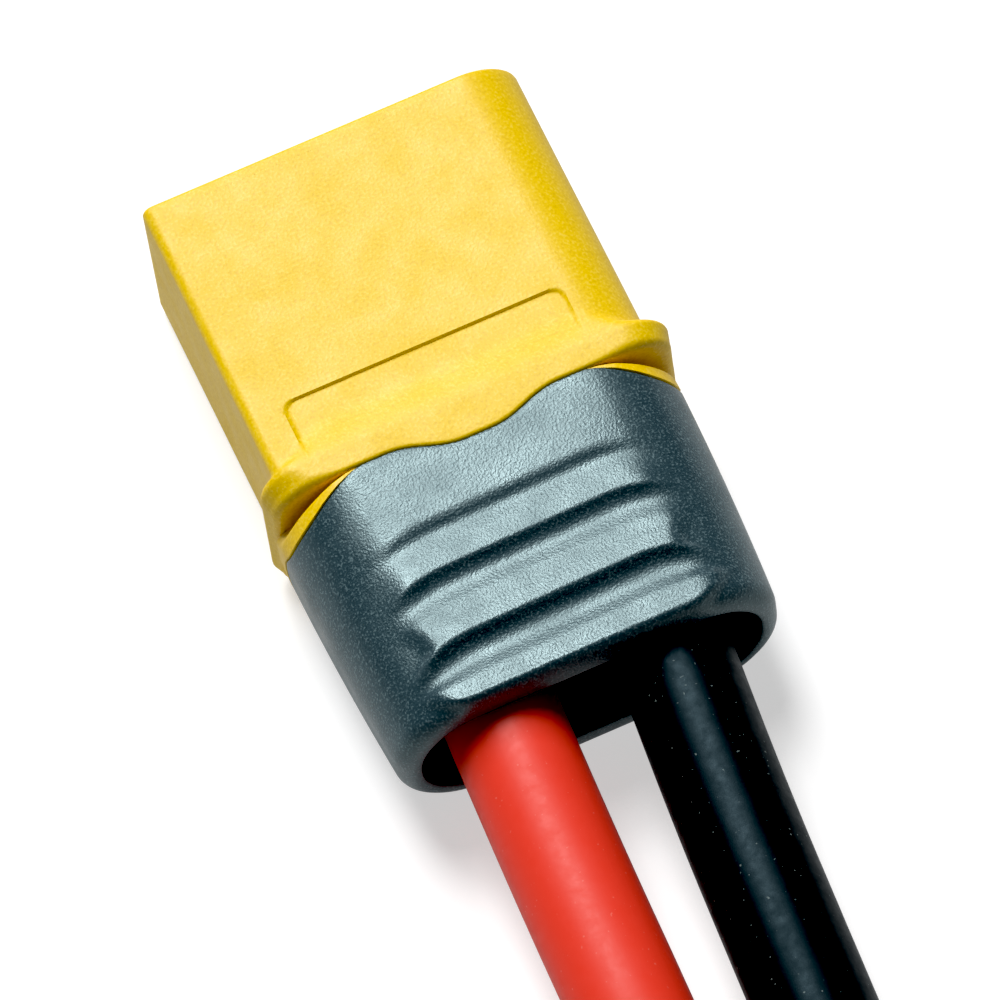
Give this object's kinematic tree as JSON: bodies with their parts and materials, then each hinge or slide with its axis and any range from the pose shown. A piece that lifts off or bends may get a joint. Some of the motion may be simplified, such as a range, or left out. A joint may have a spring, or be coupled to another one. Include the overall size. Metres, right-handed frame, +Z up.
{
  "type": "xt60 connector",
  "caption": "Two-pole battery power plug: flat keyed yellow housing, split bullet pins, grey slide-on boot, red and black wires",
  "frame": {"origin": "on the surface the connector lies on, under the middle of its housing and boot; the wires are left out", "axes": "+X from the positive pole's square end to the negative pole's round end, +Y out of the mating mouth, +Z up, out of the wide face with the recessed plate"},
  "size_m": [0.0241, 0.1213, 0.0084],
  "materials": {
    "yellow_plastic": "fine spark-eroded moulding grain",
    "grey_plastic": "fine moulding grain",
    "gold_plate": "gold plated, bright",
    "solder": "dull solder",
    "red_silicone": "satin silicone",
    "black_silicone": "satin silicone",
    "tinned_copper": "tinned strands"
  },
  "bodies": {
    "plug": {"housing": "yellow_plastic", "positive_contact": "gold_plate", "negative_contact": "gold_plate", "positive_solder": "solder", "negative_solder": "solder", "red_insulation": "red_silicone", "black_insulation": "black_silicone", "red_conductor": "tinned_copper", "black_conductor": "tinned_copper"},
    "boot": {"boot": "grey_plastic"}
  },
  "joints": [
    {"name": "boot_slide", "type": "slide", "parent": "plug", "child": "boot", "axis": [0, -1, 0], "range_m": [0, 0.012]}
  ]
}
